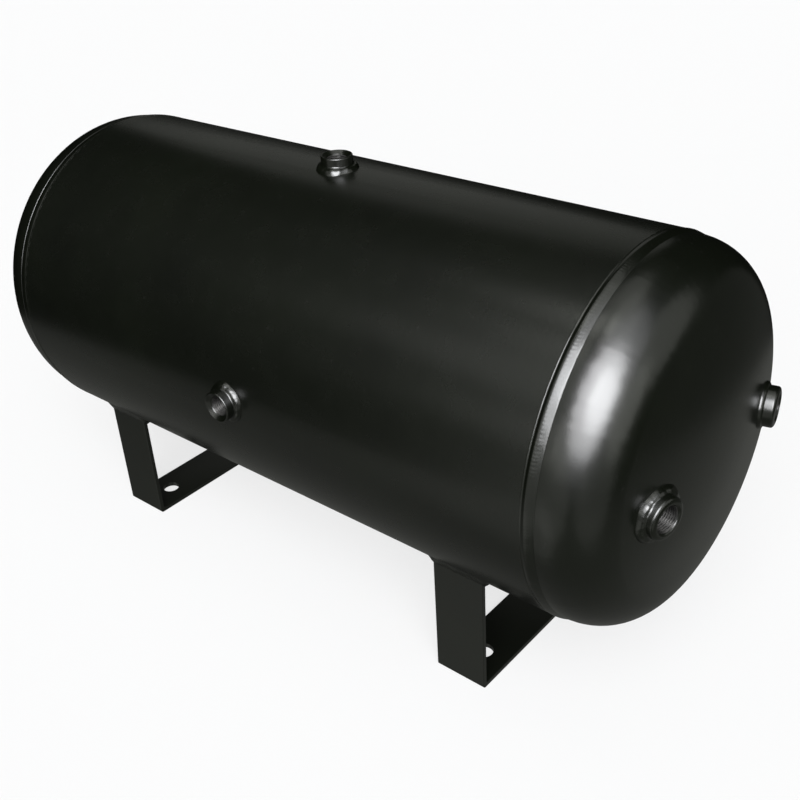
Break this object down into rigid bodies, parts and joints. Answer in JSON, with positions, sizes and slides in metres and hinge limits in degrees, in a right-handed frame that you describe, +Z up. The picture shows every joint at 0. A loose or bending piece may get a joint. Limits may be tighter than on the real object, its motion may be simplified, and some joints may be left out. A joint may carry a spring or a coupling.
{
  "type": "air receiver tank",
  "caption": "Horizontal cylindrical air receiver with dished heads, threaded ports and two welded strap feet.",
  "frame": {"origin": "on the floor, under the middle of the tank", "axes": "+X along the tank's axis towards the right head, -Y towards the front ports, +Z up"},
  "size_m": [0.5414, 0.2458, 0.2944],
  "materials": {
    "shell_paint": "satin",
    "head_paint": "satin",
    "weld_paint": "satin",
    "port_paint": "satin",
    "foot_paint": "satin"
  },
  "bodies": {
    "root": {"shell": "shell_paint", "head_right": "head_paint", "head_left": "head_paint", "shell_seam_weld": "weld_paint", "girth_weld_right": "weld_paint", "girth_weld_left": "weld_paint", "port_top_weld": "weld_paint", "port_front_weld": "weld_paint", "port_rear_weld": "weld_paint", "port_bottom_weld": "weld_paint", "port_right_front_weld": "weld_paint", "port_right_rear_weld": "weld_paint", "port_left_front_weld": "weld_paint", "port_left_rear_weld": "weld_paint", "foot_right_weld_front": "weld_paint", "foot_right_weld_rear": "weld_paint", "foot_left_weld_front": "weld_paint", "foot_left_weld_rear": "weld_paint", "port_top": "port_paint", "port_front": "port_paint", "port_rear": "port_paint", "port_bottom": "port_paint", "port_right_front": "port_paint", "port_right_rear": "port_paint", "port_left_front": "port_paint", "port_left_rear": "port_paint", "foot_right": "foot_paint", "foot_left": "foot_paint"}
  },
  "joints": []
}
